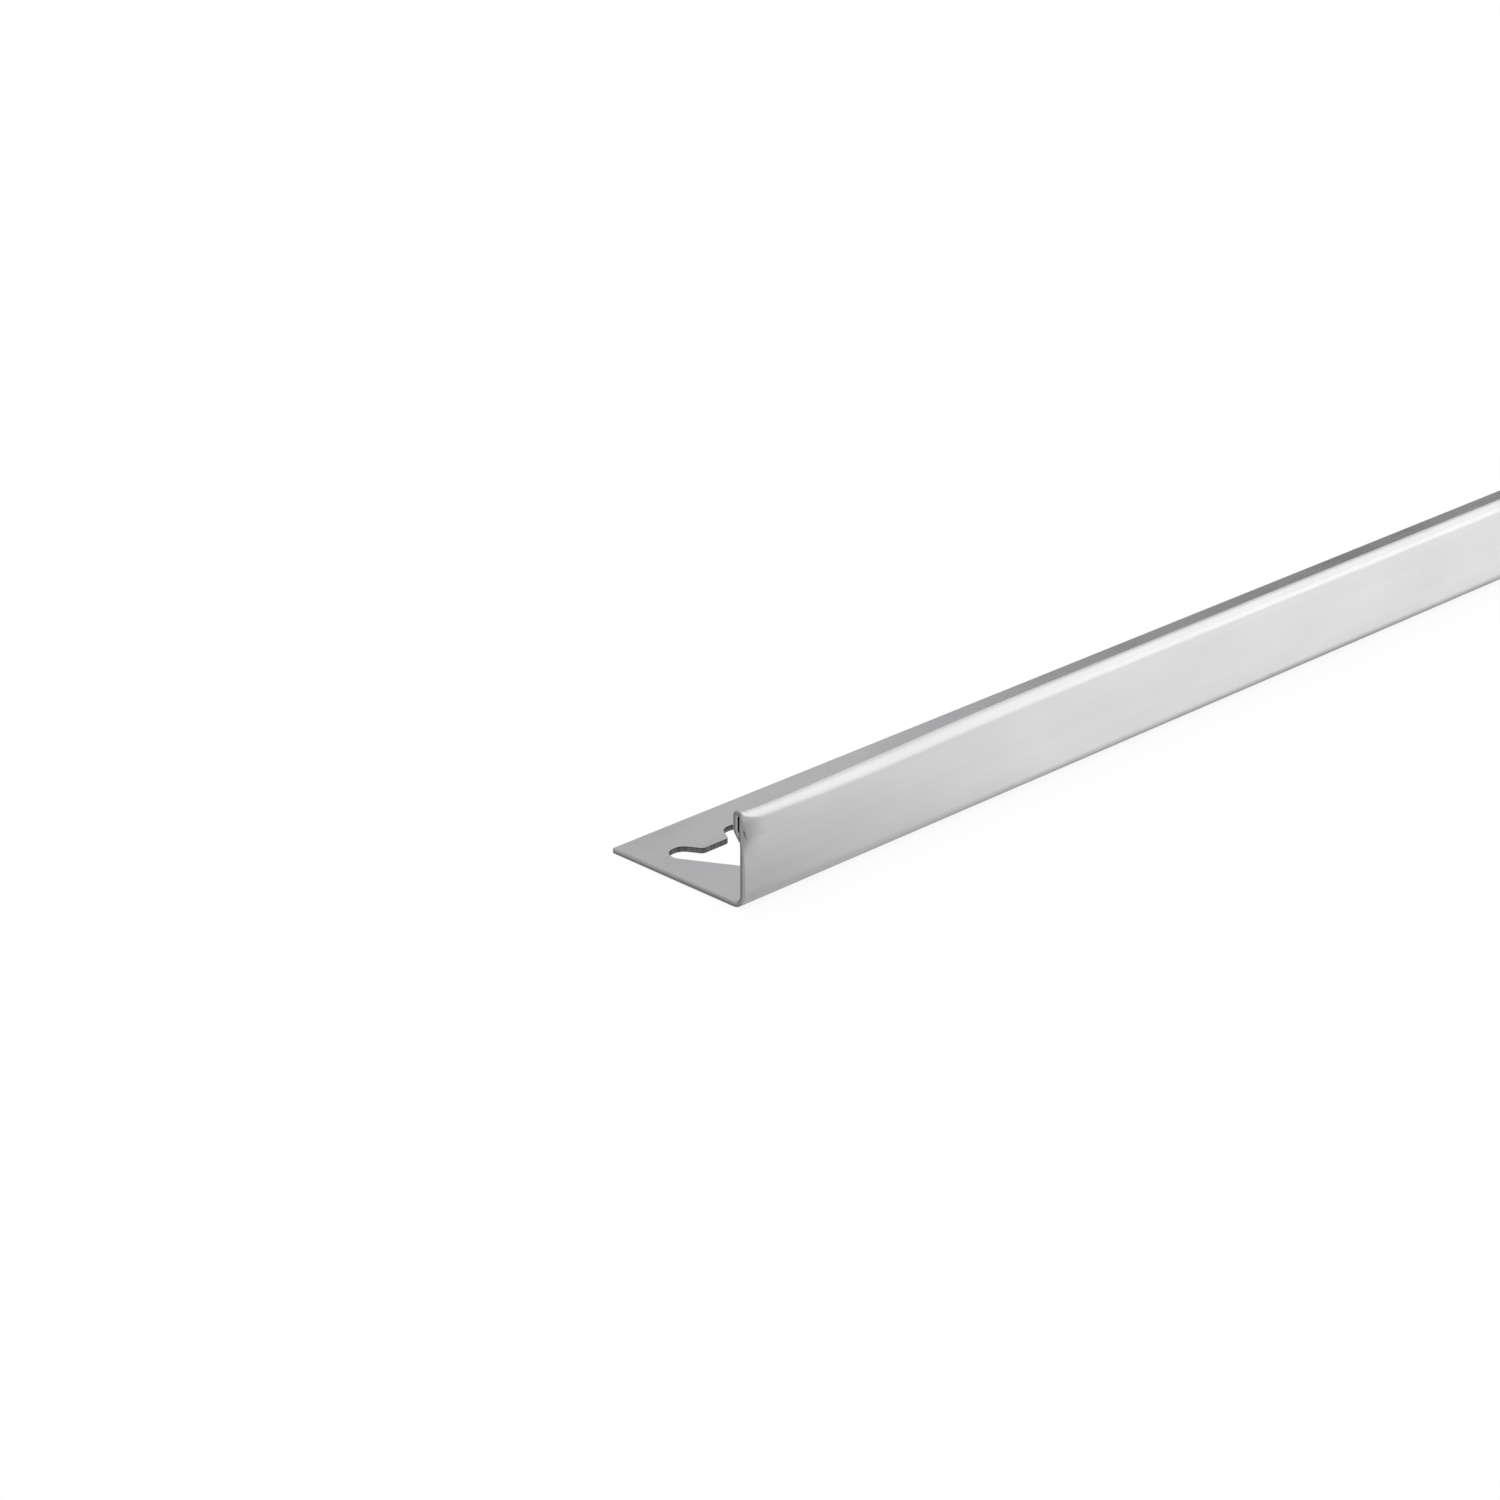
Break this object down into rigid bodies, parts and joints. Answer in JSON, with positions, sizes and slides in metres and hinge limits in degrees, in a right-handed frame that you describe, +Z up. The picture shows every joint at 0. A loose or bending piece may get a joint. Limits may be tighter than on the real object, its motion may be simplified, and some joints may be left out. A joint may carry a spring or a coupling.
{
  "type": "tile edge trim",
  "caption": "Roll-formed stainless angle that edges tiling: a perforated anchoring leg and a brushed wall folded over into a rounded hollow head.",
  "frame": {"origin": "middle of the bar's footprint, on the floor, with the leg lying flat", "axes": "+X along the bar; the wall's outer face looks along -Y and the leg reaches towards +Y; +Z up, from the leg's underside to the folded head"},
  "size_m": [1, 0.0226, 0.0125],
  "materials": {
    "brushed_stainless": "fine brushed grain along the bar, satin"
  },
  "bodies": {
    "root": {"edge_trim": "brushed_stainless"}
  },
  "joints": []
}
